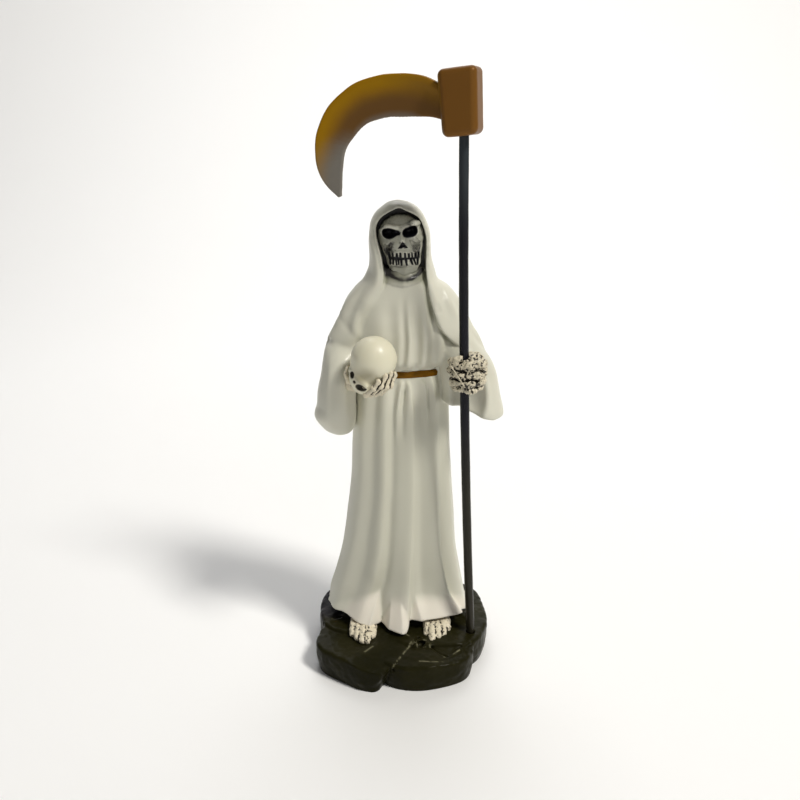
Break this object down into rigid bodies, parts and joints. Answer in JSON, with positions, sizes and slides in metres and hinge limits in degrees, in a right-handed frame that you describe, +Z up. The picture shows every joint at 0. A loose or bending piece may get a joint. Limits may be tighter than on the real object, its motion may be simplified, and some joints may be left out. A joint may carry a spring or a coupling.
{
  "type": "skeleton figure with scythe",
  "caption": "Hooded skeleton in a long pleated robe on a rock base, holding a small skull and a scythe with a curved blade.",
  "frame": {"origin": "middle of the rock base's flat underside", "axes": "+Z up, the figure faces -Y, +X towards the hand with the scythe"},
  "size_m": [0.0972, 0.0934, 0.3],
  "materials": {
    "robe": "satin off-white paint on cast resin",
    "staff": "gloss black paint",
    "blade": "satin copper-brown paint, ochre and silver grey along the blade"
  },
  "bodies": {
    "root": {"figure": "robe", "scythe_staff": "staff", "scythe_head": "blade"}
  },
  "joints": []
}
